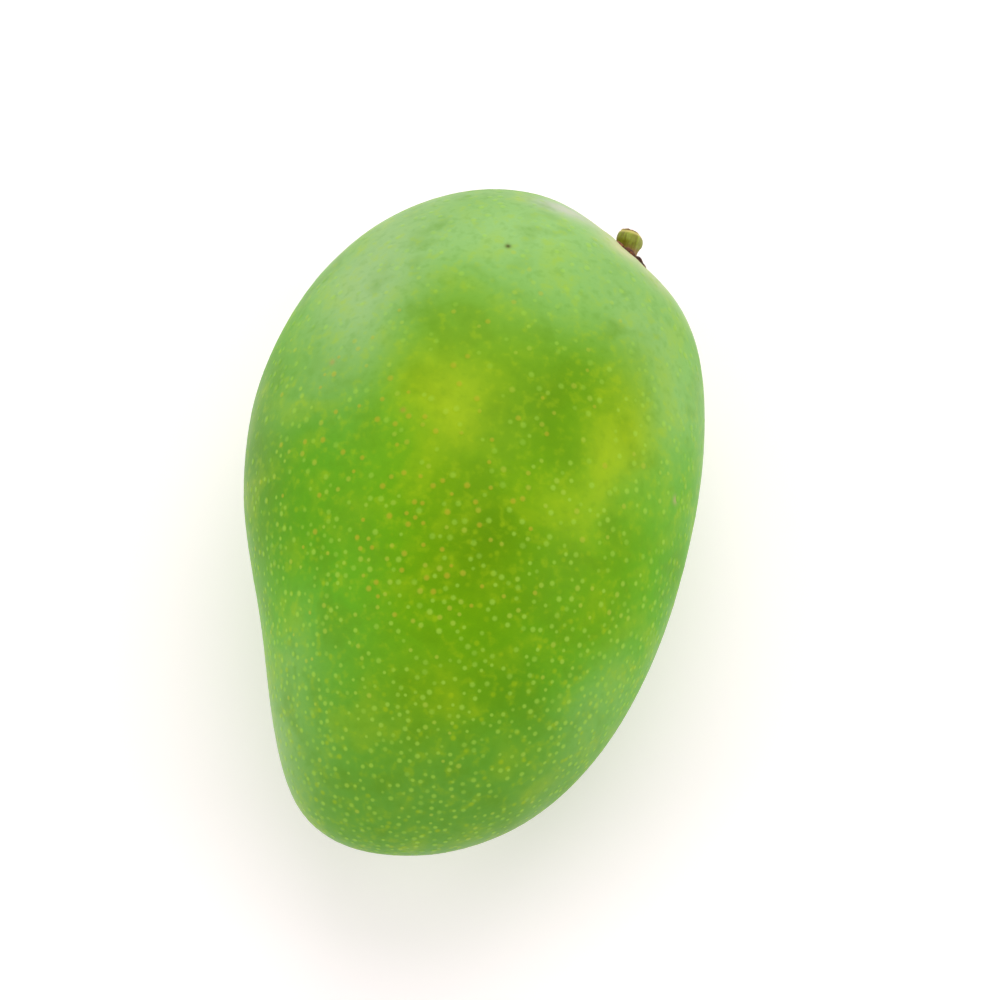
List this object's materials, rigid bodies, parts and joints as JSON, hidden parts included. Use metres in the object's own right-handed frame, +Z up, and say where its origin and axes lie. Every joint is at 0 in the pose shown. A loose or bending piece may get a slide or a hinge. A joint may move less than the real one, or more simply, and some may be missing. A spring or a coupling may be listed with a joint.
{
  "type": "mango",
  "caption": "Whole green mango, picked, lying on one cheek on a small flat spot, with a short stem stub in a corky ring.",
  "frame": {"origin": "middle of the underside of the part's box, on the surface that the fruit lies on", "axes": "+Z up through the upper cheek, +Y along the fruit from the apex to the stem end, +X to the back edge, away from the hollow of the belly edge"},
  "size_m": [0.0806, 0.121, 0.0667],
  "materials": {
    "skin": "waxy green skin, satin, with pale dots and yellow-green patches",
    "cork": "dark brown corky knobs, matt and cracked",
    "stalk": "olive-green stalk with faint ribs and a brown broken end"
  },
  "bodies": {
    "root": {"fruit": "skin", "calyx_ring": "cork", "stem": "stalk"}
  },
  "joints": []
}
